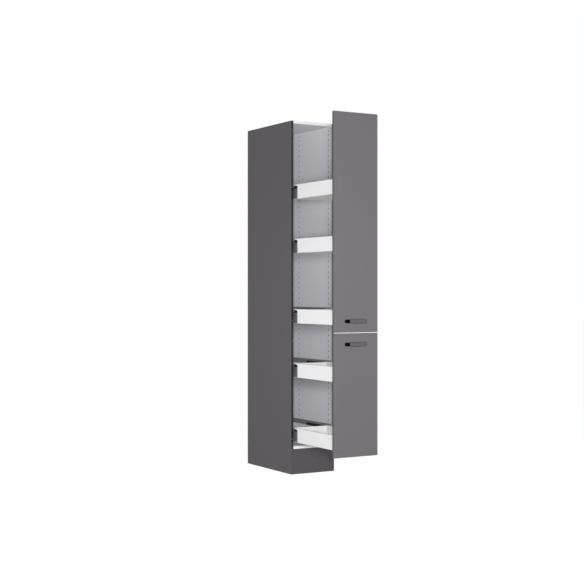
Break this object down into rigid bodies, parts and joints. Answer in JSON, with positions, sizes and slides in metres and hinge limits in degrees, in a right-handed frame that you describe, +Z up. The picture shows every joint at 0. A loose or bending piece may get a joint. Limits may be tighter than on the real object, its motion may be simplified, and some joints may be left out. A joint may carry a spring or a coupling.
{
  "type": "pull out larder unit",
  "caption": "Tall narrow kitchen cabinet with an upper and a lower front that pull out separately on telescopic runners, each carrying steel-sided trays.",
  "frame": {"origin": "on the floor, in the middle of the width, in the front plane of the carcass", "axes": "+X to the right as seen from the front, +Y to the wall behind the unit, +Z up"},
  "size_m": [0.3, 1.013, 2.095],
  "materials": {
    "carcass_board": "grey melamine outside, pale melamine inside, dark edge band",
    "front_board": "smooth matt grey lacquer",
    "plinth_board": "grey melamine",
    "white_board": "fine grained white melamine",
    "tray_board": "smooth white melamine",
    "white_steel": "satin white powder coat",
    "rail_steel": "dark grey coated steel",
    "runner_steel": "black coated steel",
    "zinc_steel": "bright zinc plate",
    "cup_plastic": "black moulded plastic",
    "cap_plastic": "grey moulded plastic",
    "plate_metal": "satin grey coat",
    "soft_pad": "clear soft plastic, which takes the grey behind it"
  },
  "bodies": {
    "carcass": {"side_panel_left": "carcass_board", "side_panel_right": "carcass_board", "top_panel": "white_board", "bottom_panel": "white_board", "back_panel": "white_board", "plinth": "plinth_board", "cam_locks": "zinc_steel", "cam_bolts": "zinc_steel", "plinth_brackets": "zinc_steel", "wall_brackets": "zinc_steel", "carcass_bracket_screws": "zinc_steel", "front_buffers": "soft_pad", "rail_screws": "zinc_steel", "cabinet_rails_1": "rail_steel", "cabinet_rails_2": "rail_steel", "cabinet_rails_3": "rail_steel", "cabinet_rails_4": "rail_steel", "cabinet_rails_5": "rail_steel"},
    "upper_pullout": {"upper_front": "front_board", "upper_handle_cup": "cup_plastic", "upper_handle_plate": "plate_metal", "upper_front_brackets": "zinc_steel", "upper_bracket_screws": "zinc_steel", "upper_tray_caps": "cap_plastic", "tray_1_rails": "runner_steel", "tray_1_side_left": "white_steel", "tray_1_side_right": "white_steel", "tray_1_base": "tray_board", "tray_1_back": "tray_board", "tray_2_rails": "runner_steel", "tray_2_side_left": "white_steel", "tray_2_side_right": "white_steel", "tray_2_base": "tray_board", "tray_2_back": "tray_board", "tray_3_rails": "runner_steel", "tray_3_side_left": "white_steel", "tray_3_side_right": "white_steel", "tray_3_base": "tray_board", "tray_3_back": "tray_board"},
    "lower_pullout": {"lower_front": "front_board", "lower_handle_cup": "cup_plastic", "lower_handle_plate": "plate_metal", "lower_front_brackets": "zinc_steel", "lower_bracket_screws": "zinc_steel", "lower_tray_caps": "cap_plastic", "tray_4_rails": "runner_steel", "tray_4_side_left": "white_steel", "tray_4_side_right": "white_steel", "tray_4_base": "tray_board", "tray_4_back": "tray_board", "tray_5_rails": "runner_steel", "tray_5_side_left": "white_steel", "tray_5_side_right": "white_steel", "tray_5_base": "tray_board", "tray_5_back": "tray_board"},
    "upper_runners": {"mid_rails_1": "runner_steel", "mid_rails_2": "runner_steel", "mid_rails_3": "runner_steel"},
    "lower_runners": {"mid_rails_4": "runner_steel", "mid_rails_5": "runner_steel"}
  },
  "joints": [
    {"name": "upper_pullout_slide", "type": "slide", "parent": "carcass", "child": "upper_pullout", "axis": [0, 1, 0], "range_m": [0, 0.45]},
    {"name": "lower_pullout_slide", "type": "slide", "parent": "carcass", "child": "lower_pullout", "axis": [0, 1, 0], "range_m": [0, 0.45]},
    {"name": "upper_runner_slide", "type": "slide", "parent": "carcass", "child": "upper_runners", "axis": [0, 1, 0], "range_m": [0, 0.225]},
    {"name": "lower_runner_slide", "type": "slide", "parent": "carcass", "child": "lower_runners", "axis": [0, 1, 0], "range_m": [0, 0.225]}
  ],
  "couplings": [
    {"joint": "upper_runner_slide", "follows": "upper_pullout_slide", "ratio": 0.5},
    {"joint": "lower_runner_slide", "follows": "lower_pullout_slide", "ratio": 0.5}
  ]
}
